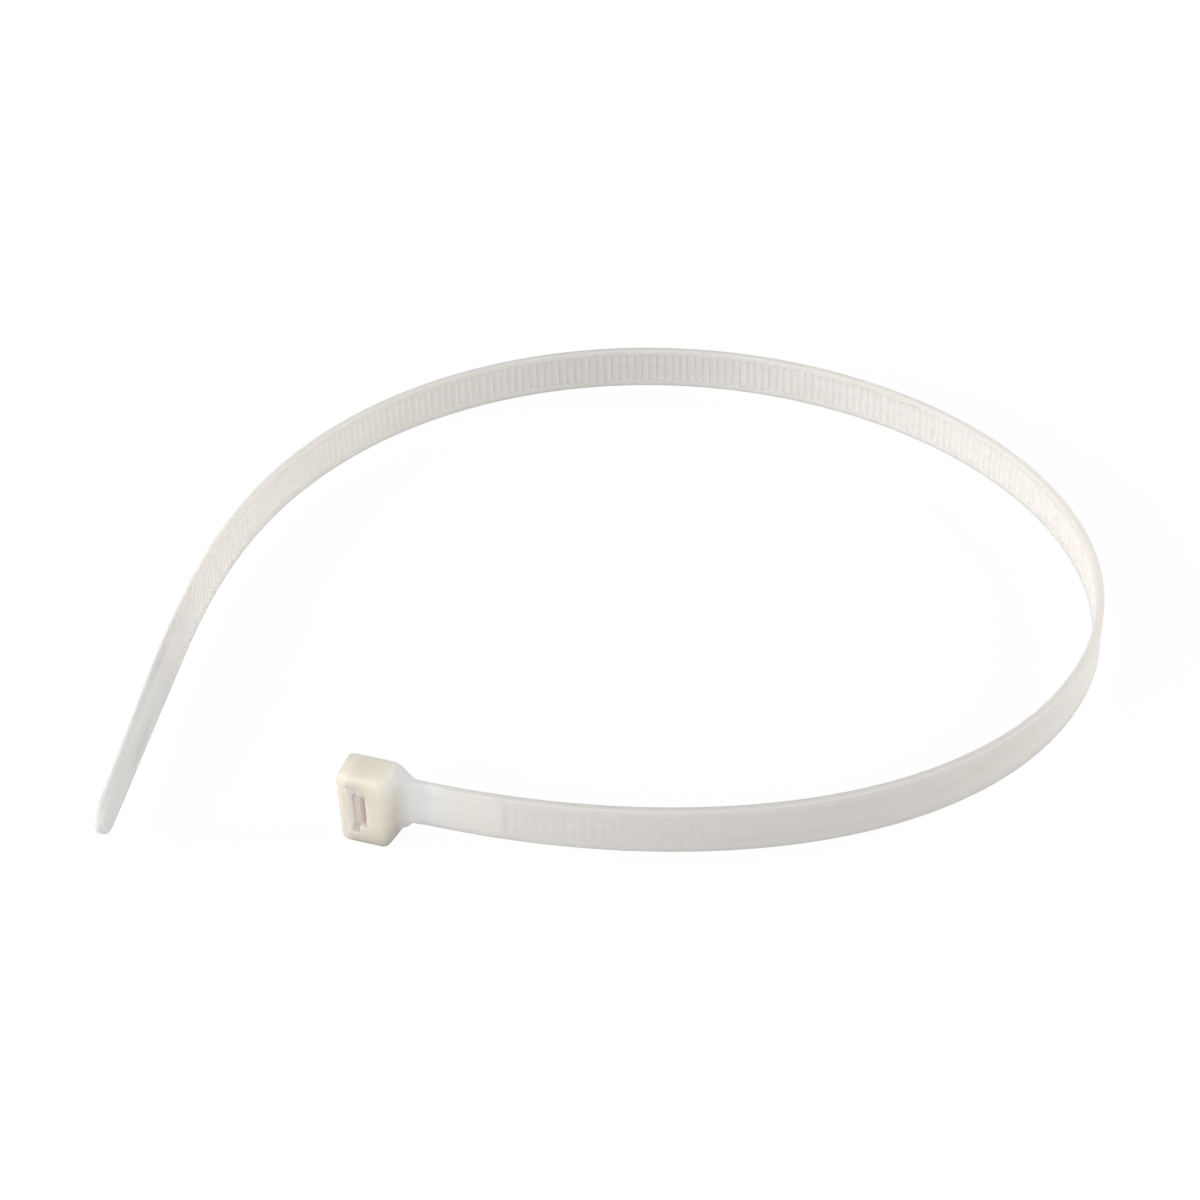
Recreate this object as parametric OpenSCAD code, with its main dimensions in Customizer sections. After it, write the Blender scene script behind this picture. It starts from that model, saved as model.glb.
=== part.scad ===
// Cable tie, heavy size, moulded in one piece and lying on its edge in a loose, open loop.
// Units are millimetres, +Z is up and the loop lies in the X and Y plane.

/* [Strap] */
// length from the head to the tip of the tail
strap_len = 506.6; // [435.2:1.7:605.2]
// width of the strap across the rack
strap_w = 9; // [7.6:0.2:11]
// thickness of the strap over its rails
strap_t = 1.5; // [1.3:0.1:1.9]

/* [Rack] */
// distance from one tooth to the next
tooth_pitch = 1.7; // [1.5:0.05:2]
// height of a tooth from valley to crest
tooth_h = 0.55; // [0.4:0.05:0.65]
// width of the plain rail left along each edge
rail_w = 1.3; // [1:0.1:1.6]
// how far the crests lie below the rails
crest_drop = 0.1; // [0.05:0.05:0.15]
// length of plain strap between the head and the first tooth
rack_start = 17; // [10:1:40]
// length of plain strap between the last tooth and the tip
rack_end = 54; // [51:1:75]

/* [Tail] */
// length of the narrowing end
tail_len = 45; // [38:1:49]
// width where the round nose of the tip begins
tip_w = 6.3; // [4.6:0.1:7]
// length of the round nose
nose_len = 5; // [3:0.5:7]

/* [Head] */
// size of the head along the strap
head_len = 9.6; // [9:0.1:12]
// size of the head across the strap
head_w = 15; // [14:0.2:18]
// size of the head through the slot
head_d = 6.6; // [6.2:0.1:8]
// corner radius at the closed end, seen along the slot
head_corner = 1.8; // [1.2:0.1:2.6]
// rounding of the edges round the outer face
head_edge = 1; // [0.6:0.1:1.2]
// how far each end of the head draws in from the strap to the outer face
head_draft = 0.4; // [0.2:0.1:0.8]
// length of the neck between the head and the free strap
neck_len = 2.9; // [2.8:0.1:4.5]
// length over which the shoulders close in to the width of the strap
shoulder_len = 2.4; // [1.8:0.1:2.6]
// radius of the hollow curve between the head and the outer face of the strap
neck_r = 2.6; // [2:0.1:3]
// how far the root stands proud of the outer face of the strap
root_rise = 0.25; // [0.2:0.05:0.4]
// length of the proud root beyond the neck
root_len = 2.2; // [1.5:0.1:4]

/* [Slot and pawl] */
// wall left at the closed end of the head
end_wall = 2.2; // [1.8:0.1:2.4]
// room around the strap in the slot, edge to edge
slot_side_gap = 0.6; // [0.4:0.1:1]
// room behind the strap in the slot
slot_face_gap = 0.6; // [0.4:0.1:0.8]
// depth and width of the lead in at the mouth
lead_in = 0.7; // [0.4:0.1:0.9]
// width of the pawl
pawl_w = 6; // [4.8:0.1:6.2]
// thickness of the pawl at its hinge
hinge_t = 1.7; // [1.4:0.1:2]
// thickness of the pawl at its tip
pawl_tip_t = 0.95; // [0.8:0.05:1.1]
// height of the teeth on the pawl
pawl_bite = 0.55; // [0.4:0.05:0.6]
// how far the relaxed pawl leans into the slot at its tip
pawl_reach = 0.6; // [0.4:0.1:0.8]
// how far the tip of the pawl lies inside the outer face
pawl_inset = 0.4; // [0.3:0.1:0.8]
// gap on each side of the pawl
pawl_side_gap = 0.4; // [0.3:0.1:0.6]
// gap between the back of the pawl and the wall behind it
pawl_back_gap = 0.6; // [0.5:0.1:1]
// number of teeth on the pawl
pawl_teeth = 3; // [2:1:3]

/* [Hidden] */
$fn = 96;
natural_nylon = [0.93, 0.91, 0.87];

// The way the loose strap lies: the degrees it turns over a tenth of its length, at each tenth
// from the head to the tip. Between these the turn changes evenly.
TENTH_TURNS = [16.1, 24.8, 42.4, 43.2, 32.4, 29.9, 36.3, 36.8, 27.7, 4.1, -4.2];
root_heading = -21.3;
tenth = strap_len / 10;
function turn(s) = lookup(s / tenth, [for (i = [0:10]) [i, TENTH_TURNS[i]]]) / tenth;

// Stations along the middle of the strap: x, y and heading, one for every tooth.
stations = round(strap_len / tooth_pitch);
step = strap_len / stations;
WAY = [for (i = 0, x = 0, y = 0, a = 0; i <= stations;
            x = x + step * cos(a + turn((i + 0.5) * step) * step / 2),
            y = y + step * sin(a + turn((i + 0.5) * step) * step / 2),
            a = a + turn((i + 0.5) * step) * step,
            i = i + 1) [x, y, a]];

// A point beside station i and part of the way to the next one; off is positive towards the
// inside of the loop.
function beside(i, part, off) =
    let (p = WAY[i], q = WAY[min(i + 1, stations)], a = p[2] + (q[2] - p[2]) * part)
    [p[0] + (q[0] - p[0]) * part - off * sin(a), p[1] + (q[1] - p[1]) * part + off * cos(a)];

// The inner and outer face of the strap, seen from its middle, and the bottom of its lower edge.
inner = strap_t / 2;
outer = -strap_t / 2;
strap_z = (head_w - strap_w) / 2;

// The rack: where it runs, how deep it lies and the share of the pitch where a tooth is steep
// and where its crest ends.
first_tooth = ceil(rack_start / step);
last_tooth = floor((strap_len - rack_end) / step);
crest = inner - crest_drop;
valley = crest - tooth_h;
rack_w = strap_w - 2 * rail_w;
steep_end = 0.08;
crest_end = 0.26;

// The head, from its closed end to its wall at the neck.
head_far = -neck_len - head_len;
head_out = inner - head_d;
shoulder = (head_w - strap_w) / 2;
shoulder_end = -neck_len + shoulder_len;
root_back = neck_len + root_rise;

// The slot, the pocket beside it and the pawl that stands in both.
slot_far = head_far + end_wall;
slot_near = slot_far + strap_t + slot_face_gap;
slot_w = strap_w + slot_side_gap;
pawl_back = slot_near + pawl_tip_t;
pocket_near = pawl_back + pawl_back_gap;
pocket_w = pawl_w + 2 * pawl_side_gap;
mouth = inner - lead_in;
tip_at = head_out + pawl_inset;

// How far a cutting shape runs past what it cuts.
past = 1;

// A row of points on an arc about c, from angle a0 to a1.
function arc(c, r, a0, a1, n) = [for (i = [0:n]) let (a = a0 + (a1 - a0) * i / n)
    [c[0] + r * cos(a), c[1] + r * sin(a)]];

// What is cut from a square corner at the origin to round it.
module round_off(r) {
    difference() {
        translate([-past, -past]) square(r + past);
        translate([r, r]) circle(r);
    }
}

// The plain strap, with a straight root that runs into the head.
module strap_blank() {
    translate([0, 0, strap_z])
    linear_extrude(strap_w)
    polygon(concat(
        [[-root_back, inner], [-root_back, outer]],
        [for (i = [0:stations]) beside(i, 0, outer)],
        [for (i = [stations:-1:0]) beside(i, 0, inner)]));
}

// What is taken out of the inner face between the rails. The steep side of each tooth faces
// the head, so the pawl slides over the teeth one way and catches on them the other way.
module rack_recess() {
    translate([0, 0, strap_z + rail_w])
    linear_extrude(rack_w)
    polygon(concat(
        [beside(first_tooth - 1, 0.5, inner + past), beside(first_tooth - 1, 0.5, valley)],
        [for (i = [first_tooth:last_tooth - 1], k = [0:2])
            beside(i, [0, steep_end, crest_end][k], [valley, crest, crest][k])],
        [beside(last_tooth, 0, valley), beside(last_tooth, 0.5, valley)],
        [beside(last_tooth, 0.5, inner + past)],
        [for (i = [last_tooth:-1:first_tooth]) beside(i, 0, inner + past)]));
}

// The outline the tail is trimmed to: straight sides that close in, and a long round nose.
module tail_outline() {
    slope = (strap_w - tip_w) / 2 / (tail_len - nose_len);
    wide = tip_w / 2 + (2 * tail_len - nose_len) * slope;
    nose = arc([0, 0], 1, -90, 90, 24);
    polygon(concat(
        [[-2 * tail_len, -wide]],
        [for (p = nose) [(p[0] - 1) * nose_len, p[1] * tip_w / 2]],
        [[-2 * tail_len, wide]]));
}

// What is cut away beside the narrowing tail, which is nearly straight.
module tail_trim() {
    tip = WAY[stations];
    from = WAY[stations - floor(tail_len / step)];
    chord = atan2(tip[1] - from[1], tip[0] - from[0]);
    reach = tail_len + strap_w / 2;
    translate([tip[0], tip[1], head_w / 2])
    rotate([0, 0, chord])
    rotate([90, 0, 0])
    translate([0, 0, -strap_w])
    linear_extrude(2 * strap_w)
    difference() {
        translate([-reach, -strap_w]) square([reach + strap_w / 2, 2 * strap_w]);
        tail_outline();
    }
}

module strap() {
    color(natural_nylon)
    difference() {
        strap_blank();
        rack_recess();
        tail_trim();
    }
}

// The head seen along the slot: round corners at the closed end, sloping shoulders at the neck.
module head_front() {
    difference() {
        polygon([[head_far, 0], [-neck_len, 0], [shoulder_end, shoulder],
                 [root_len + past, shoulder], [root_len + past, head_w - shoulder],
                 [shoulder_end, head_w - shoulder], [-neck_len, head_w], [head_far, head_w]]);
        translate([head_far, 0]) round_off(head_corner);
        translate([head_far, head_w]) mirror([0, 1]) round_off(head_corner);
    }
}

// The head seen from its side: flush inside the loop, standing out of the loop, with a hollow
// curve that leads from its wall to a slightly proud root on the outer face of the strap.
module head_side() {
    wall_out = outer - root_rise - neck_r;
    far_slope = atan(head_draft / head_d);
    near_slope = atan(head_draft / (wall_out - head_out));
    far_x = head_far + head_draft + head_edge * tan(45 - far_slope / 2);
    near_x = -neck_len - head_draft - head_edge * tan(45 - near_slope / 2);
    difference() {
        polygon(concat(
            [[head_far, inner], [shoulder_end / 2, inner], [shoulder_end / 2, 0],
             [root_len, outer + root_rise / 2], [-neck_len + neck_r, outer - root_rise],
             [-neck_len, wall_out]],
            arc([near_x, head_out + head_edge], head_edge, -near_slope, -90, 16),
            arc([far_x, head_out + head_edge], head_edge, 270, 180 + far_slope, 16)));
        translate([-neck_len + neck_r, wall_out]) circle(neck_r);
    }
}

// The head seen along the strap: round edges at the outer face.
module head_end() {
    difference() {
        translate([head_out, 0]) square([head_d, head_w]);
        translate([head_out, 0]) round_off(head_edge);
        translate([head_out, head_w]) mirror([0, 1]) round_off(head_edge);
    }
}

module head_block() {
    intersection() {
        translate([0, head_d, 0]) rotate([90, 0, 0]) linear_extrude(2 * head_d) head_front();
        translate([0, 0, -past]) linear_extrude(head_w + 2 * past) head_side();
        translate([head_far - past, 0, 0])
        rotate([90, 0, 90])
        linear_extrude(head_len + neck_len + root_len + 2 * past)
        head_end();
    }
}

// The way through the head for the strap, wider at the mouth inside the loop.
module slot() {
    flare = lead_in + past;
    translate([0, 0, (head_w - slot_w) / 2])
    linear_extrude(slot_w)
    polygon([[slot_far - flare, inner + past], [slot_near + flare, inner + past],
             [slot_near, mouth], [slot_near, head_out - past],
             [slot_far, head_out - past], [slot_far, mouth]]);
}

// The pocket the pawl springs back into. It starts below the hinge.
module pawl_pocket() {
    top = mouth - hinge_t / 3;
    translate([slot_near - pawl_bite, head_out - past, (head_w - pocket_w) / 2])
    cube([pocket_near - slot_near + pawl_bite, top - head_out + past, pocket_w]);
}

// A point on the pawl, which leans further into the slot the nearer it is to the tip.
function leaning(x, y) = [x - pawl_reach * (mouth - y) / (mouth - tip_at), y];

// The tongue hinged near the mouth, leaning into the slot, with teeth that face the rack.
module pawl() {
    rooted = pocket_near + pawl_back_gap;
    steep = steep_end * tooth_pitch;
    color(natural_nylon)
    translate([0, 0, (head_w - pawl_w) / 2])
    linear_extrude(pawl_w)
    polygon(concat(
        [[rooted, mouth - steep], [rooted, mouth - hinge_t],
         leaning(pawl_back, mouth - 1.2 * hinge_t),
         leaning(pawl_back, tip_at), leaning(slot_near, tip_at)],
        [for (k = [0:pawl_teeth - 1], e = [0, 1])
            leaning(slot_near - pawl_bite * e, tip_at + (e + 1) * steep + k * step)],
        [[slot_near, tip_at + steep + pawl_teeth * step],
         [slot_near + lead_in, mouth - steep]]));
}

module head() {
    color(natural_nylon) {
        difference() {
            head_block();
            slot();
            pawl_pocket();
        }
        pawl();
    }
}

// The middle of the space the loop fills, found from the outer face of the strap.
turned = [for (i = [0:stations]) let (p = beside(i, 0, outer))
    [p[0] * cos(root_heading) - p[1] * sin(root_heading),
     p[0] * sin(root_heading) + p[1] * cos(root_heading)]];
middle = [for (k = [0, 1]) (min([for (p = turned) p[k]]) + max([for (p = turned) p[k]])) / 2];

module cable_tie() {
    translate([-middle[0], -middle[1], 0])
    rotate([0, 0, root_heading]) {
        strap();
        head();
    }
}

cable_tie();
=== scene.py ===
"""A heavy cable tie of natural nylon, lying on its edge in a loose, open loop.

The strap, its rack of teeth, the tail and the head are one moulded body. Its skin is made here
as one row of cross sections from the closed end of the head to the tip of the tail, then the
slot and the pawl's pocket are cut and the pawl is added.
"""
import math

import bmesh
import bpy
from mathutils import Matrix, Vector


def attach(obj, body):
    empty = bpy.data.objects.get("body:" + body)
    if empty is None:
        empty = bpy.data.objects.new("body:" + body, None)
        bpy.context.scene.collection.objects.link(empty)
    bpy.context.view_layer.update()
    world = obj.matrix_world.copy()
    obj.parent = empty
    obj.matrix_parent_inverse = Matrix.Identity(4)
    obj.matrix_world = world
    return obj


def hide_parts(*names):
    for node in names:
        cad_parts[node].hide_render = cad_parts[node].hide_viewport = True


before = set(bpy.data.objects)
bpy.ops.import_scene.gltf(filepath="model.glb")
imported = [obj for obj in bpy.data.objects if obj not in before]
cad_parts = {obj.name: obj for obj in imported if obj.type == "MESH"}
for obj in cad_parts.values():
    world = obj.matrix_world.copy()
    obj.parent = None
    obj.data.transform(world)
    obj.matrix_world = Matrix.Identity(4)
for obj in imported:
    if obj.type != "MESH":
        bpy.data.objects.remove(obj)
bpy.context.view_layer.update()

MM = 0.001

# ------------------------------------------------------------------ sizes, in millimetres

STRAP_LEN = 506.6
STRAP_W = 9.0
STRAP_T = 1.5
TOOTH_PITCH = 1.7
TOOTH_H = 0.55
RAIL_W = 1.3
CREST_DROP = 0.1
RACK_START = 17.0
RACK_END = 54.0
TAIL_LEN = 45.0
TIP_W = 6.3
NOSE_LEN = 5.0

HEAD_LEN = 9.6
HEAD_W = 15.0
HEAD_D = 6.6
HEAD_CORNER = 1.8
HEAD_DRAFT = 0.4
NECK_LEN = 2.9
SHOULDER_LEN = 2.4
NECK_R = 2.6
ROOT_RISE = 0.25
ROOT_LEN = 2.2

END_WALL = 2.2
SLOT_SIDE_GAP = 0.6
SLOT_FACE_GAP = 0.6
LEAD_IN = 0.7
PAWL_W = 6.0
HINGE_T = 1.7
PAWL_TIP_T = 0.95
PAWL_BITE = 0.55
PAWL_REACH = 0.6
PAWL_INSET = 0.4
PAWL_SIDE_GAP = 0.4
PAWL_BACK_GAP = 0.6
PAWL_TEETH = 3

# Rounding that moulded edges have.
STRAP_EDGE = 0.32
HEAD_OUTER_EDGE = 1.25
HEAD_INNER_EDGE = 0.35
RAIL_EDGE = 0.14
RIM_EDGE = 0.16
SLOT_CORNER = 0.22
PAWL_EDGE = 0.05

# The degrees the strap turns over a tenth of its length, at each tenth from head to tip.
TENTH_TURNS = (16.1, 24.8, 42.4, 43.2, 32.4, 29.9, 36.3, 36.8, 27.7, 4.1, -4.2)
ROOT_HEADING = math.radians(-21.3)

INNER = STRAP_T / 2
OUTER = -STRAP_T / 2
MID_Z = HEAD_W / 2
CREST = INNER - CREST_DROP
VALLEY = CREST - TOOTH_H
WALL_X = -NECK_LEN
HEAD_FAR = WALL_X - HEAD_LEN
HEAD_OUT = INNER - HEAD_D
ROOT_OUT = OUTER - ROOT_RISE
WALL_OUT = ROOT_OUT - NECK_R
SLOT_FAR = HEAD_FAR + END_WALL
SLOT_NEAR = SLOT_FAR + STRAP_T + SLOT_FACE_GAP
SLOT_W = STRAP_W + SLOT_SIDE_GAP
PAWL_BACK = SLOT_NEAR + PAWL_TIP_T
POCKET_NEAR = PAWL_BACK + PAWL_BACK_GAP
POCKET_W = PAWL_W + 2 * PAWL_SIDE_GAP
MOUTH = INNER - LEAD_IN
PAWL_TIP = HEAD_OUT + PAWL_INSET


# ------------------------------------------------------------------ the way the strap lies

def turn_at(s):
    """Radians the strap turns per millimetre at distance s from the head."""
    tenth = STRAP_LEN / 10
    i = min(int(s / tenth), 9)
    part = min(s / tenth - i, 1.0)
    degrees = TENTH_TURNS[i] + (TENTH_TURNS[i + 1] - TENTH_TURNS[i]) * part
    return math.radians(degrees) / tenth


def lay_strap():
    """Stations (x, y, heading) along the middle of the strap, one for every tooth."""
    count = round(STRAP_LEN / TOOTH_PITCH)
    step = STRAP_LEN / count
    x = y = heading = 0.0
    way = [(x, y, heading)]
    for i in range(count):
        turn = turn_at((i + 0.5) * step) * step
        x += step * math.cos(heading + turn / 2)
        y += step * math.sin(heading + turn / 2)
        heading += turn
        way.append((x, y, heading))
    return way, step


WAY, STEP = lay_strap()
STATIONS = len(WAY) - 1


def to_room(x, y):
    """Turns a point of the head's own frame by the heading of the root."""
    c, s = math.cos(ROOT_HEADING), math.sin(ROOT_HEADING)
    return c * x - s * y, s * x + c * y


def loop_middle():
    """Middle of the space the loop fills, found from the outer face of the strap."""
    turned = [to_room(x - OUTER * math.sin(a), y + OUTER * math.cos(a)) for x, y, a in WAY]
    return [(min(p[k] for p in turned) + max(p[k] for p in turned)) / 2 for k in (0, 1)]


MIDDLE = loop_middle()


def place(s, off, z):
    """A point at s along the tie, off towards the inside of the loop and at height z, in metres.

    Before the first station the tie runs straight, which is where the root and the head are.
    """
    if s <= 0:
        x, y = s, off
    else:
        i = min(int(s / STEP), STATIONS - 1)
        part = s / STEP - i
        (x0, y0, a0), (x1, y1, a1) = WAY[i], WAY[i + 1]
        a = a0 + (a1 - a0) * part
        x = x0 + (x1 - x0) * part - off * math.sin(a)
        y = y0 + (y1 - y0) * part + off * math.cos(a)
    x, y = to_room(x, y)
    return Vector(((x - MIDDLE[0]) * MM, (y - MIDDLE[1]) * MM, z * MM))


# ------------------------------------------------------------------ cross sections

# Steps round each corner of a section, and rows of sections in each part of the tie.
CORNER_STEPS = 4
END_STEPS = 12
WALL_STEPS = 8
NECK_STEPS = 16
ROOT_STEPS = 10
TAIL_STEPS = 24
NOSE_STEPS = 18

# The lip of a rail: its largest share of the half width, how far its middle point lies along
# both of its sides, and the share of its size by which the wall below it leans.
LIP_SHARE = 0.2
LIP_CURVE = 0.3
WALL_LEAN = 0.14

# The corners at the head's outer face get smaller where that face is drawn back: by how much of
# the distance, and down to which radius.
CORNER_LOSS = 0.4
SMALL_CORNER = 0.4

# The neck begins just past the head's last section. At the inner face its shoulders run on for
# SHOULDER_EASE past the plain slope, at the outer face they start OUTER_LEAD earlier and close
# within OUTER_RUN. Its edges are rounder by up to NECK_EDGE.
NECK_GAP = 0.01
SHOULDER_EASE = 1.1
OUTER_LEAD = 0.3
OUTER_RUN = 1.5
NECK_EDGE = 0.25

# The plain strap: the gap from the root and from the rack to its nearest section, and the pitches
# it leaves free before the first tooth. The rack's recess reaches half a pitch past its teeth.
ROOT_GAP = 1.2
RACK_GAP = 1.0
PITCHES_FREE = 0.6
HALF_PITCH = 0.5

# The end walls of the rack: how wide and deep their rounded top is, and how far they slope.
LEDGE = 0.12
LEDGE_SLOPE = 0.03

# The tip: the angle of its last section, the radius its faces are rounded by and the share of
# it they draw in, how much of that its edges lose in radius, and the share of the half width
# that their radius takes up at most.
LAST_ANGLE = 88.5
TIP_EDGE = 0.5
TIP_SHARE = 0.6
THIN_LOSS = 0.4
EDGE_SHARE = 0.8

FIRST_TOOTH = math.ceil(RACK_START / STEP)
LAST_TOOTH = math.floor((STRAP_LEN - RACK_END) / STEP)

# Where the sections of one tooth lie, as a share of the pitch, and how high above the valley.
# The steep side faces the head.
TOOTH = ((0.0, 0.0), (0.065, 0.86), (0.105, 1.0), (0.23, 1.0), (0.30, 0.93))


def rounded(length, radius):
    """How far a rounded edge has drawn back at a distance length from the end it rounds."""
    if length >= radius:
        return 0.0
    return radius - math.sqrt(radius * radius - (radius - length) ** 2)


def smooth(t):
    """Eases from 0 to 1."""
    t = min(max(t, 0.0), 1.0)
    return t * t * (3 - 2 * t)


def quarter(k, steps):
    """The angle of step k of a quarter turn."""
    return math.radians(90 * k / steps)


def section(out, inn, half, out_r, in_r, floor=None, out_half=None):
    """Points (off, z) round one cross section, from its lower outer corner over the top.

    out and inn are where the outer and inner face lie, half is half the width, out_r and in_r
    the corner radii. floor is how deep the rack lies there, between the rails. out_half is
    half the width at the outer face, where that differs.
    """
    points = []
    out_half = half if out_half is None else out_half
    for off, z, start, r in (
        (out + out_r, MID_Z - out_half + out_r, 270, out_r),
        (out + out_r, MID_Z + out_half - out_r, 180, out_r),
        (inn - in_r, MID_Z + half - in_r, 90, in_r),
    ):
        for k in range(CORNER_STEPS + 1):
            a = math.radians(start - 90 * k / CORNER_STEPS)
            points.append((off + r * math.cos(a), z + r * math.sin(a)))
    lip = min(RAIL_EDGE, LIP_SHARE * (half - in_r))
    edge = min(STRAP_W / 2 - RAIL_W, half - in_r - 2 * lip)
    floor = inn if floor is None else floor
    dip = min(lip, inn - floor)
    upper = [
        (inn, edge + lip),
        (inn - LIP_CURVE * dip, edge + LIP_CURVE * lip),
        (inn - dip, edge),
        (floor, edge - WALL_LEAN * lip),
    ]
    points += [(off, MID_Z + h) for off, h in upper]
    points += [(off, MID_Z - h) for off, h in reversed(upper)]
    for k in range(CORNER_STEPS + 1):
        a = -quarter(k, CORNER_STEPS)
        points.append((inn - in_r + in_r * math.cos(a), MID_Z - half + in_r + in_r * math.sin(a)))
    return points


def drawn_in(points, at_end, at_wall):
    """Points (shift, off, z): how far the head's ends draw in towards its outer face."""
    moved = []
    for off, z in points:
        end = HEAD_DRAFT * (INNER - off) / HEAD_D
        wall = HEAD_DRAFT * max(WALL_OUT - off, 0) / (WALL_OUT - HEAD_OUT)
        moved.append((end * at_end - wall * at_wall, off, z))
    return moved


def head_sections():
    """Sections of the head from its closed end to its wall at the neck."""
    rows = []
    xs = [HEAD_FAR + HEAD_CORNER * (1 - math.cos(quarter(k, END_STEPS)))
          for k in range(END_STEPS + 1)]
    xs += [WALL_X - HEAD_OUTER_EDGE * math.cos(quarter(k, WALL_STEPS))
           for k in range(WALL_STEPS + 1)]
    for x in xs:
        from_end, from_wall = x - HEAD_FAR, max(WALL_X - x, 0.0)
        side = rounded(from_end, HEAD_CORNER) + rounded(from_wall, HEAD_INNER_EDGE)
        outer_side = rounded(from_end, HEAD_CORNER) + rounded(from_wall, HEAD_OUTER_EDGE)
        face = max(rounded(from_end, HEAD_OUTER_EDGE), rounded(from_wall, HEAD_OUTER_EDGE))
        back = rounded(from_end, HEAD_INNER_EDGE)
        corner = max(HEAD_OUTER_EDGE - CORNER_LOSS * face, SMALL_CORNER)
        points = section(HEAD_OUT + face, INNER - back, HEAD_W / 2 - side, corner, HEAD_INNER_EDGE,
                         out_half=HEAD_W / 2 - outer_side)
        near_wall = min(from_end / HEAD_LEN, 1)
        rows.append((x, drawn_in(points, 1 - near_wall, near_wall)))
    return rows


def neck_sections():
    """Sections of the neck: shoulders that close in and a hollow curve down to the root.

    The shoulders run further along the strap at its inner face than at its outer one.
    """
    rows = []
    for k in range(NECK_STEPS + 1):
        a = quarter(k, NECK_STEPS)
        x = WALL_X + NECK_GAP + (NECK_R - NECK_GAP) * (1 - math.cos(a))
        rows.append((x, ROOT_OUT - NECK_R + NECK_R * math.sin(a)))
    start = WALL_X + NECK_R
    for k in range(1, ROOT_STEPS + 1):
        x = start + (ROOT_LEN - start) * k / ROOT_STEPS
        rows.append((x, ROOT_OUT + ROOT_RISE * smooth(k / ROOT_STEPS)))
    full = HEAD_W / 2 - HEAD_INNER_EDGE
    out_full = HEAD_W / 2 - HEAD_OUTER_EDGE
    made = []
    for x, out in rows:
        closed = smooth((x - WALL_X) / (SHOULDER_LEN + SHOULDER_EASE))
        out_closed = smooth((x - WALL_X + OUTER_LEAD) / OUTER_RUN)
        half = full + (STRAP_W / 2 - full) * closed
        out_half = out_full + (STRAP_W / 2 - out_full) * out_closed
        edge = STRAP_EDGE + NECK_EDGE * (1 - out_closed)
        points = section(out, INNER, half, edge, STRAP_EDGE, out_half=out_half)
        made.append((x, drawn_in(points, 0, 1)))
    return made


def strap_sections():
    """Sections of the strap from the root through the rack to the start of the tail."""
    rows = []
    s = ROOT_LEN + ROOT_GAP
    while s < (FIRST_TOOTH - PITCHES_FREE) * STEP:
        rows.append((s, None))
        s += STEP
    end = (FIRST_TOOTH - HALF_PITCH) * STEP
    rows += [(end - LEDGE, None), (end - LEDGE_SLOPE, INNER - LEDGE), (end, VALLEY)]
    for i in range(FIRST_TOOTH, LAST_TOOTH):
        rows += [((i + part) * STEP, VALLEY + TOOTH_H * height) for part, height in TOOTH]
    end = (LAST_TOOTH + HALF_PITCH) * STEP
    rows += [(LAST_TOOTH * STEP, VALLEY), (end, VALLEY)]
    rows += [(end + LEDGE_SLOPE, INNER - LEDGE), (end + LEDGE, None)]
    s = end + RACK_GAP
    while s < STRAP_LEN - TAIL_LEN:
        rows.append((s, None))
        s += STEP
    return [
        (s, drawn_in(section(OUTER, INNER, STRAP_W / 2, STRAP_EDGE, STRAP_EDGE, floor), 0, 0))
        for s, floor in rows
    ]


def tail_sections():
    """Sections of the narrowing tail and the long round nose of its tip."""
    narrowing = TAIL_LEN - NOSE_LEN
    distances = [TAIL_LEN - narrowing * k / TAIL_STEPS for k in range(TAIL_STEPS + 1)]
    distances += [NOSE_LEN * (1 - math.sin(math.radians(LAST_ANGLE * k / NOSE_STEPS)))
                  for k in range(1, NOSE_STEPS + 1)]
    rows = []
    for left in distances:
        half = TIP_W / 2 + (STRAP_W - TIP_W) / 2 * max(left - NOSE_LEN, 0) / narrowing
        if left < NOSE_LEN:
            half *= math.sqrt(1 - (1 - left / NOSE_LEN) ** 2)
        thin = rounded(left, TIP_EDGE) * TIP_SHARE
        edge = min(STRAP_EDGE - THIN_LOSS * thin, EDGE_SHARE * half)
        points = section(OUTER + thin, INNER - thin, half, edge, edge)
        rows.append((STRAP_LEN - left, drawn_in(points, 0, 0)))
    return rows


# ------------------------------------------------------------------ solids

# Steps of 30 degrees round each corner of an opening, and how far a cutter runs past the head.
WINDOW_STEPS = 3
PAST = 1.0

# The steep side of a pawl tooth as a share of the pitch, and where the pawl's back starts to
# lean as a share of the hinge's thickness.
STEEP_SHARE = 0.08
BACK_SHARE = 1.2

# Points closer together than this, in metres, are one point.
WELD = 1e-7

# Edges over which the surface turns further than this stay sharp in the shading.
CREASE = math.radians(38)


def skin(name, rows):
    """A closed mesh through rows of equally many points, in metres."""
    bm = bmesh.new()
    rings = [[bm.verts.new(p) for p in row] for row in rows]
    for a, b in zip(rings, rings[1:]):
        for k in range(len(a)):
            n = (k + 1) % len(a)
            bm.faces.new((a[k], a[n], b[n], b[k]))
    bm.faces.new(rings[0][::-1])
    bm.faces.new(rings[-1])
    bmesh.ops.recalc_face_normals(bm, faces=bm.faces)
    mesh = bpy.data.meshes.new(name)
    bm.to_mesh(mesh)
    bm.free()
    obj = bpy.data.objects.new(name, mesh)
    bpy.context.scene.collection.objects.link(obj)
    return obj


def window(x0, x1, half, r):
    """Points (x, z) of an upright opening with rounded corners."""
    points = []
    for x, z, start in (
        (x1 - r, half - r, 0),
        (x0 + r, half - r, 90),
        (x0 + r, -half + r, 180),
        (x1 - r, -half + r, 270),
    ):
        for k in range(WINDOW_STEPS + 1):
            a = math.radians(start + 90 / WINDOW_STEPS * k)
            points.append((x + r * math.cos(a), MID_Z + z + r * math.sin(a)))
    return points


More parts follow.
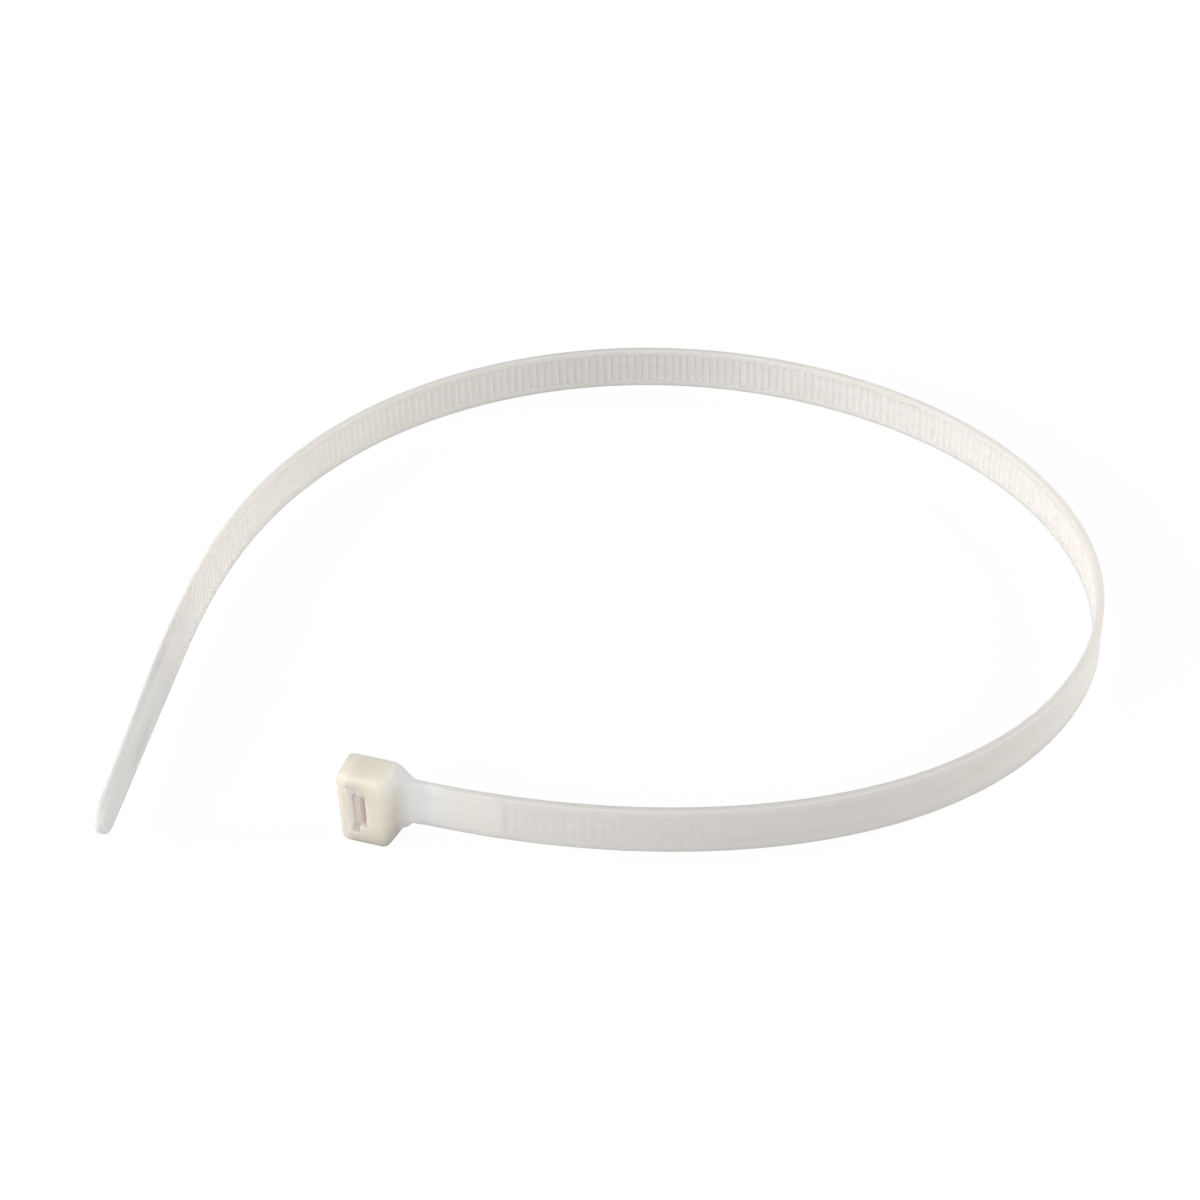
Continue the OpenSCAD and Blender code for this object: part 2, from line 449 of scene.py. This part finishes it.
def opening(name, levels):
    """A cutter through the head: each level is (off, near x, far x, half width)."""
    rows = []
    for off, x0, x1, half in levels:
        rows.append([place(x, off, z) for x, z in window(x0, x1, half, SLOT_CORNER)])
    return skin(name, rows)


def slot_cutter():
    """The way through the head for the strap, wider at the mouth inside the loop."""
    half, rim = SLOT_W / 2, RIM_EDGE
    return opening("slot", [
        (HEAD_OUT - PAST, SLOT_FAR - rim, SLOT_NEAR + rim, half + rim),
        (HEAD_OUT, SLOT_FAR - rim, SLOT_NEAR + rim, half + rim),
        (HEAD_OUT + rim, SLOT_FAR, SLOT_NEAR, half),
        (MOUTH, SLOT_FAR, SLOT_NEAR, half),
        (INNER - rim, SLOT_FAR - LEAD_IN + rim, SLOT_NEAR + LEAD_IN - rim, half),
        (INNER, SLOT_FAR - LEAD_IN, SLOT_NEAR + LEAD_IN, half + rim),
        (INNER + PAST, SLOT_FAR - LEAD_IN, SLOT_NEAR + LEAD_IN, half + rim),
    ])


def pocket_cutter():
    """The pocket the pawl springs back into. It starts below the hinge."""
    x0, half, rim = SLOT_NEAR - PAWL_BITE, POCKET_W / 2, RIM_EDGE
    top = MOUTH - HINGE_T / 3
    return opening("pocket", [
        (HEAD_OUT - PAST, x0, POCKET_NEAR + rim, half + rim),
        (HEAD_OUT, x0, POCKET_NEAR + rim, half + rim),
        (HEAD_OUT + rim, x0, POCKET_NEAR, half),
        (top, x0, POCKET_NEAR, half),
    ])


def pawl_outline():
    """Outline (x, off) of the pawl, from its root round the tip to the hinge.

    The pawl leans into the slot, the further the nearer to its tip.
    """
    def leaning(x, off):
        return x - PAWL_REACH * (MOUTH - off) / (MOUTH - PAWL_TIP), off

    rooted = POCKET_NEAR + PAWL_BACK_GAP
    steep = STEEP_SHARE * TOOTH_PITCH
    points = [
        (rooted, MOUTH - steep),
        (rooted, MOUTH - HINGE_T),
        leaning(PAWL_BACK, MOUTH - BACK_SHARE * HINGE_T),
        leaning(PAWL_BACK, PAWL_TIP),
        leaning(SLOT_NEAR, PAWL_TIP),
    ]
    for k in range(PAWL_TEETH):
        points.append(leaning(SLOT_NEAR, PAWL_TIP + steep + k * STEP))
        points.append(leaning(SLOT_NEAR - PAWL_BITE, PAWL_TIP + 2 * steep + k * STEP))
    points.append((SLOT_NEAR, PAWL_TIP + steep + PAWL_TEETH * STEP))
    points.append((SLOT_NEAR + LEAD_IN, MOUTH - steep))
    return points


def pawl_body():
    """The tongue with its teeth, its edges broken by a small bevel."""
    outline = pawl_outline()
    sides = (-PAWL_W / 2, PAWL_W / 2)
    pawl = skin("pawl", [[place(x, off, MID_Z + side) for x, off in outline] for side in sides])
    bm = bmesh.new()
    bm.from_mesh(pawl.data)
    bmesh.ops.bevel(bm, geom=list(bm.edges), offset=PAWL_EDGE * MM, segments=2, profile=0.5,
                    affect="EDGES")
    bmesh.ops.recalc_face_normals(bm, faces=bm.faces)
    bm.to_mesh(pawl.data)
    bm.free()
    return pawl


def combine(body, tool, operation):
    """Cuts tool from body or joins it on, and leaves the result as plain mesh."""
    change = body.modifiers.new(operation.lower(), "BOOLEAN")
    change.operation = operation
    change.solver = "MANIFOLD"
    change.object = tool
    graph = bpy.context.evaluated_depsgraph_get()
    mesh = bpy.data.meshes.new_from_object(body.evaluated_get(graph))
    body.modifiers.clear()
    old, body.data = body.data, mesh
    bpy.data.meshes.remove(old)
    bpy.data.objects.remove(tool)


def mark_edges(mesh):
    """Smooth shading, with a crease where the surface turns sharply."""
    bm = bmesh.new()
    bm.from_mesh(mesh)
    bmesh.ops.remove_doubles(bm, verts=bm.verts, dist=WELD)
    for face in bm.faces:
        face.smooth = True
    for edge in bm.edges:
        edge.smooth = len(edge.link_faces) != 2 or edge.calc_face_angle(0) < CREASE
    bm.to_mesh(mesh)
    bm.free()


def mould_tie():
    """The whole tie as one mesh: the skin, less the slot and the pocket, with the pawl."""
    rows = head_sections() + neck_sections() + strap_sections() + tail_sections()
    rows = [[place(s + shift, off, z) for shift, off, z in points] for s, points in rows]
    tie = skin("nylon_tie", rows)
    combine(tie, slot_cutter(), "DIFFERENCE")
    combine(tie, pocket_cutter(), "DIFFERENCE")
    combine(tie, pawl_body(), "UNION")
    mark_edges(tie.data)
    even = tie.modifiers.new("even shading", "WEIGHTED_NORMAL")
    even.keep_sharp = True
    return tie


# ------------------------------------------------------------------ where each point lies

# Stations tried on each side of the last point's own, and the distance in millimetres beyond
# which all of them are tried.
NEARBY = 6
FAR_OFF = 3.0

# Where the thickness of the head starts to fade along the tie, and over which length.
FADE_START = -4.5
FADE_LEN = 14

# Room round the slot within which a point counts as inside it.
SLOT_ROOM = 0.1


def nearest_station(x, y, last):
    """The station nearest to a point, looked for round the last one first."""
    def apart(k):
        return (WAY[k][0] - x) ** 2 + (WAY[k][1] - y) ** 2

    near = min(range(max(last - NEARBY, 0), min(last + NEARBY, STATIONS) + 1), key=apart)
    if apart(near) > FAR_OFF ** 2:
        near = min(range(STATIONS + 1), key=apart)
    return near


def lay_grain(mesh):
    """Stores where each point lies on the tie, for its material.

    flow: along the tie, across its thickness and its height, in millimetres. thick: from 1 in
    the thick head to 0 on the strap. hollow: 1 inside the head's slot.
    """
    c, s = math.cos(ROOT_HEADING), math.sin(ROOT_HEADING)
    flows, depths, hollows = [], [], []
    near = 0
    for vertex in mesh.vertices:
        x, y = vertex.co.x / MM + MIDDLE[0], vertex.co.y / MM + MIDDLE[1]
        x, y = c * x + s * y, -s * x + c * y
        near = nearest_station(x, y, near)
        px, py, a = WAY[near]
        dx, dy = x - px, y - py
        along = near * STEP + dx * math.cos(a) + dy * math.sin(a)
        across = -dx * math.sin(a) + dy * math.cos(a)
        high = vertex.co.z / MM - MID_Z
        flows.append((along, across, high))
        depths.append(1 - smooth((along - FADE_START) / FADE_LEN))
        hollows.append(float(
            SLOT_FAR - LEAD_IN - SLOT_ROOM < along < POCKET_NEAR + SLOT_ROOM
            and HEAD_OUT + SLOT_ROOM < across < INNER - SLOT_ROOM
            and abs(high) < SLOT_W / 2 + SLOT_ROOM))
    mesh.attributes.new("flow", "FLOAT_VECTOR", "POINT")
    mesh.attributes.new("thick", "FLOAT", "POINT")
    mesh.attributes.new("hollow", "FLOAT", "POINT")
    mesh.attributes["flow"].data.foreach_set("vector", [v for p in flows for v in p])
    mesh.attributes["thick"].data.foreach_set("value", depths)
    mesh.attributes["hollow"].data.foreach_set("value", hollows)


tie = mould_tie()
lay_grain(tie.data)
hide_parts("cable_tie")
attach(tie, "root")


# ------------------------------------------------------------------ materials

# Tones of the nylon from the thin strap over its root and neck to the thick head, and the
# thickness at which the two in between lie. The root and neck tones are painted light: lighter
# than the nylon alone, standing in for light that passes through the head into the neck.
STRAP_TONE = (0.83, 0.765, 0.68, 1)
ROOT_PAINTED_LIGHT_TONE = (0.98, 0.93, 0.86, 1)
NECK_PAINTED_LIGHT_TONE = (0.99, 0.93, 0.86, 1)
HEAD_TONE = (0.985, 0.765, 0.585, 1)
ROOT_THICK = 0.4
NECK_THICK = 0.9

# The greyer tail, where it fades in along the tie, and the walls of the slot, which get a
# lighter tone as painted light, standing in for light that comes through into the slot.
TAIL_TONE = (0.56, 0.55, 0.545, 1)
TAIL_FADE = (STRAP_LEN - 80, STRAP_LEN - 38)
SLOT_PAINTED_LIGHT_TONE = (0.98, 0.86, 0.74, 1)

# How the nylon clouds along its flow: stretch, and the span of its shade.
CLOUD_STRETCH = (0.05, 0.6, 0.35)
CLOUD_SHADE = (0.95, 1.03)
NOISE_SPAN = (0.3, 0.7)

# A darker oval patch on the inner face of the tail: middle, stretch, its rim and its shade.
MARK_AT = (STRAP_LEN - 26, 0.75, -1.4)
MARK_STRETCH = (0.11, 1.0, 0.7)
MARK_RIM = (0.5, 1.2)
MARK_SHADE = 0.9

# Painted shade: the strap darkens towards its edges, and the head towards its closed end.
EDGE_FADE = (3.6, 4.4)
EDGE_PAINTED_SHADE = 0.88
END_FADE = (HEAD_FAR + 0.2, HEAD_FAR + 2.5)
END_PAINTED_SHADE = 0.75

# How far light travels under the surface: the scale in metres, and the share of it for red,
# green and blue on the strap, in the head and in the tail.
LIGHT_REACH = 0.016
STRAP_REACH = (0.54, 0.52, 0.48)
HEAD_REACH = (1.0, 1.0, 0.9)
TAIL_REACH = (0.4, 0.4, 0.38)

# The satin surface: how fine and how strong its unevenness is, and the span of its roughness.
FINE_SCALE = 2.2
FINE_BUMP = 0.12
FINE_DEPTH = 0.00005
SATIN = (0.46, 0.58)
NYLON_IOR = 1.53
NYLON_SPECULAR = 0.4


def new_material(name):
    material = bpy.data.materials.new(name)
    material.use_nodes = True
    tree = material.node_tree
    return material, tree, tree.nodes["Principled BSDF"]


def add(tree, kind, inputs=None, **settings):
    """A node with its settings and the values or links of its inputs."""
    node = tree.nodes.new(kind)
    for key, value in settings.items():
        setattr(node, key, value)
    for key, value in (inputs or {}).items():
        if isinstance(value, bpy.types.NodeSocket):
            tree.links.new(value, node.inputs[key])
        else:
            node.inputs[key].default_value = value
    return node


def attribute(tree, name, output):
    return add(tree, "ShaderNodeAttribute", attribute_name=name).outputs[output]


def calculate(tree, operation, *values):
    return add(tree, "ShaderNodeMath", dict(enumerate(values)), operation=operation).outputs[0]


def calculate_vector(tree, operation, *values):
    """The node, since some operations give a vector and some a value."""
    return add(tree, "ShaderNodeVectorMath", dict(enumerate(values)), operation=operation)


def noise(tree, at, scale, detail):
    inputs = {"Vector": at, "Scale": scale, "Detail": detail}
    return add(tree, "ShaderNodeTexNoise", inputs).outputs["Fac"]


def spread(tree, value, span, to, eased=False):
    """Takes value from span to the two ends of to, and holds it beyond them."""
    inputs = {"Value": value, "From Min": span[0], "From Max": span[1],
              "To Min": to[0], "To Max": to[1]}
    kind = "SMOOTHSTEP" if eased else "LINEAR"
    return add(tree, "ShaderNodeMapRange", inputs, interpolation_type=kind).outputs[0]


def mix_tones(tree, share, a, b):
    return add(tree, "ShaderNodeMix", {0: share, 6: a, 7: b}, data_type="RGBA").outputs[2]


def mix_reach(tree, share, a, b):
    return add(tree, "ShaderNodeMix", {0: share, 4: a, 5: b}, data_type="VECTOR").outputs[1]


def nylon_tone(tree, thick, tail, hollow):
    """The colour of the nylon before its shades."""
    depth = add(tree, "ShaderNodeValToRGB", {"Fac": thick})
    stops = depth.color_ramp.elements
    stops[0].color = STRAP_TONE
    stops[1].color = HEAD_TONE
    # Painted light: the neck and root stops are lighter, standing in for light that passes through
    # the head into the neck.
    stops.new(NECK_THICK).color = NECK_PAINTED_LIGHT_TONE
    stops.new(ROOT_THICK).color = ROOT_PAINTED_LIGHT_TONE
    tone = mix_tones(tree, tail, depth.outputs[0], TAIL_TONE)
    # Painted light: the walls of the slot get a lighter tone, standing in for light that comes
    # through the head into the slot.
    return mix_tones(tree, hollow, tone, SLOT_PAINTED_LIGHT_TONE)


def nylon_shade(tree, flow, thick, along, high):
    """The clouds, a darker patch on the tail, and painted shade at the strap's edges and the head's
    closed end, as one factor.
    """
    stretched = calculate_vector(tree, "MULTIPLY", flow, CLOUD_STRETCH).outputs[0]
    shade = spread(tree, noise(tree, stretched, 1.0, 3.0), NOISE_SPAN, CLOUD_SHADE)

    mark = calculate_vector(tree, "SUBTRACT", flow, MARK_AT).outputs[0]
    mark = calculate_vector(tree, "MULTIPLY", mark, MARK_STRETCH).outputs[0]
    mark = calculate_vector(tree, "LENGTH", mark).outputs["Value"]
    mark = spread(tree, mark, MARK_RIM, (MARK_SHADE, 1.0), eased=True)

    high = calculate(tree, "ABSOLUTE", high)
    # Painted shade: darker towards the strap's top and bottom edges, fading out in the head.
    edge = spread(tree, high, EDGE_FADE, (1.0, EDGE_PAINTED_SHADE))
    edge = add(tree, "ShaderNodeMix", {0: thick, 2: edge, 3: 1.0}).outputs[0]
    # Painted shade: darker towards the head's closed end.
    end = spread(tree, along, END_FADE, (END_PAINTED_SHADE, 1.0), eased=True)
    for other in (edge, end, mark):
        shade = calculate(tree, "MULTIPLY", shade, other)
    return shade


def natural_nylon():
    """Milky nylon without dye: greyish white where thin, warm in the head, and brighter at the root
    and neck as painted light.
    """
    material, tree, shader = new_material("natural nylon")
    flow = attribute(tree, "flow", "Vector")
    thick = attribute(tree, "thick", "Fac")
    hollow = attribute(tree, "hollow", "Fac")
    parts = add(tree, "ShaderNodeSeparateXYZ", {0: flow}).outputs
    along, high = parts["X"], parts["Z"]
    tail = spread(tree, along, TAIL_FADE, (0.0, 1.0), eased=True)

    tone = nylon_tone(tree, thick, tail, hollow)
    shade = nylon_shade(tree, flow, thick, along, high)
    inputs = {0: tone, 3: shade}
    colour = add(tree, "ShaderNodeVectorMath", inputs, operation="SCALE").outputs[0]
    tree.links.new(colour, shader.inputs["Base Color"])

    reach = mix_reach(tree, thick, STRAP_REACH, HEAD_REACH)
    reach = mix_reach(tree, tail, reach, TAIL_REACH)
    tree.links.new(reach, shader.inputs["Subsurface Radius"])
    shader.inputs["Subsurface Weight"].default_value = 1.0
    shader.inputs["Subsurface Scale"].default_value = LIGHT_REACH

    fine = noise(tree, flow, FINE_SCALE, 4.0)
    tree.links.new(spread(tree, fine, NOISE_SPAN, SATIN), shader.inputs["Roughness"])
    inputs = {"Height": fine, "Strength": FINE_BUMP, "Distance": FINE_DEPTH}
    bump = add(tree, "ShaderNodeBump", inputs).outputs[0]
    tree.links.new(bump, shader.inputs["Normal"])
    shader.inputs["IOR"].default_value = NYLON_IOR
    shader.inputs["Specular IOR Level"].default_value = NYLON_SPECULAR
    return material


tie.data.materials.clear()
tie.data.materials.append(natural_nylon())


# ------------------------------------------------------------------ floor, light, camera

# The pale floor: its size in metres, its own tone, and the share and strength of the plain
# white it shows to the camera, which leaves the shadow of the tie on it.
FLOOR_SIZE = 6
FLOOR_TONE = (0.6, 0.6, 0.6, 1)
FLOOR_WHITE = 0.85
FLOOR_GLOW = 1.09

# The light of the room, and how bright the room is where the camera sees it.
ROOM_LIGHT = 0.38
ROOM_WHITE = 1.0
WHITE = (1, 1, 1, 1)

# The softboxes: name, place in metres and power in watts. All point at the middle of the loop.
SOFTBOX_SIZE = 1.1
SOFTBOXES = (
    ("left_softbox", (-1.85, 0.0, 0.75), 16.3),
    ("front_left_softbox", (-1.31, -1.31, 0.75), 21.4),
    ("right_softbox", (1.85, 0.0, 0.75), 19.6),
)

# The camera, found from the outline of the strap: its turn in degrees, its place in millimetres
# and its focal length in pixels of the photograph.
CAMERA_TILT = 35.46
CAMERA_ROLL = -2.101
CAMERA_YAW = 0.027
CAMERA_AT = (-4.131, -390.101, 277.857)
FOCAL_PIXELS = 2412.8
PHOTO_PIXELS = 1200
SENSOR_WIDTH = 36
CLIP = (0.01, 20)


def studio_floor():
    bpy.ops.mesh.primitive_plane_add(size=FLOOR_SIZE, location=(0, 0, 0))
    floor = bpy.context.object
    floor.name = "studio_floor"
    material, tree, shader = new_material("pale floor")
    shader.inputs["Base Color"].default_value = FLOOR_TONE
    shader.inputs["Roughness"].default_value = 0.9
    shader.inputs["Specular IOR Level"].default_value = 0.1
    path = add(tree, "ShaderNodeLightPath").outputs
    seen = calculate(tree, "MAXIMUM", path["Is Camera Ray"], path["Is Glossy Ray"])
    seen = calculate(tree, "MAXIMUM", seen, path["Is Transmission Ray"])
    share = calculate(tree, "MULTIPLY", seen, FLOOR_WHITE)
    white = add(tree, "ShaderNodeEmission", {"Color": WHITE, "Strength": FLOOR_GLOW}).outputs[0]
    mixed = add(tree, "ShaderNodeMixShader", {0: share, 1: shader.outputs[0], 2: white}).outputs[0]
    tree.links.new(mixed, tree.nodes["Material Output"].inputs["Surface"])
    floor.data.materials.append(material)


def studio_light():
    world = bpy.data.worlds.new("studio")
    bpy.context.scene.world = world
    world.use_nodes = True
    tree = world.node_tree
    tree.nodes.clear()
    path = add(tree, "ShaderNodeLightPath").outputs
    seen = calculate(tree, "MAXIMUM", path["Is Camera Ray"], path["Is Transmission Ray"])
    room, white = [
        add(tree, "ShaderNodeBackground", {"Color": WHITE, "Strength": strength}).outputs[0]
        for strength in (ROOM_LIGHT, ROOM_WHITE)
    ]
    mixed = add(tree, "ShaderNodeMixShader", {0: seen, 1: room, 2: white}).outputs[0]
    add(tree, "ShaderNodeOutputWorld", {"Surface": mixed})
    for name, at, watts in SOFTBOXES:
        lamp = bpy.data.lights.new(name, "AREA")
        lamp.shape, lamp.size, lamp.energy = "SQUARE", SOFTBOX_SIZE, watts
        softbox = bpy.data.objects.new(name, lamp)
        softbox.location = at
        softbox.rotation_euler = (-softbox.location).to_track_quat("-Z", "Y").to_euler()
        bpy.context.scene.collection.objects.link(softbox)


def photo_camera():
    """The camera at the photograph's viewing angle."""
    tilt, roll, yaw = (math.radians(a) for a in (CAMERA_TILT, CAMERA_ROLL, CAMERA_YAW))
    level_share = math.cos(tilt)
    ahead = Vector((math.sin(yaw) * level_share, math.cos(yaw) * level_share, -math.sin(tilt)))
    level = Vector((math.cos(yaw), -math.sin(yaw), 0))
    upward = level.cross(ahead)
    right = math.cos(roll) * level + math.sin(roll) * upward
    up = -math.sin(roll) * level + math.cos(roll) * upward
    data = bpy.data.cameras.new("camera")
    data.sensor_fit = "HORIZONTAL"
    data.sensor_width = SENSOR_WIDTH
    data.lens = FOCAL_PIXELS / PHOTO_PIXELS * SENSOR_WIDTH
    data.clip_start, data.clip_end = CLIP
    camera = bpy.data.objects.new("camera", data)
    turn = Matrix((right, up, -ahead)).transposed().to_4x4()
    camera.matrix_world = Matrix.Translation(Vector(CAMERA_AT) * MM) @ turn
    bpy.context.scene.collection.objects.link(camera)
    bpy.context.scene.camera = camera


studio_floor()
studio_light()
photo_camera()
bpy.context.scene.view_settings.view_transform = "Standard"
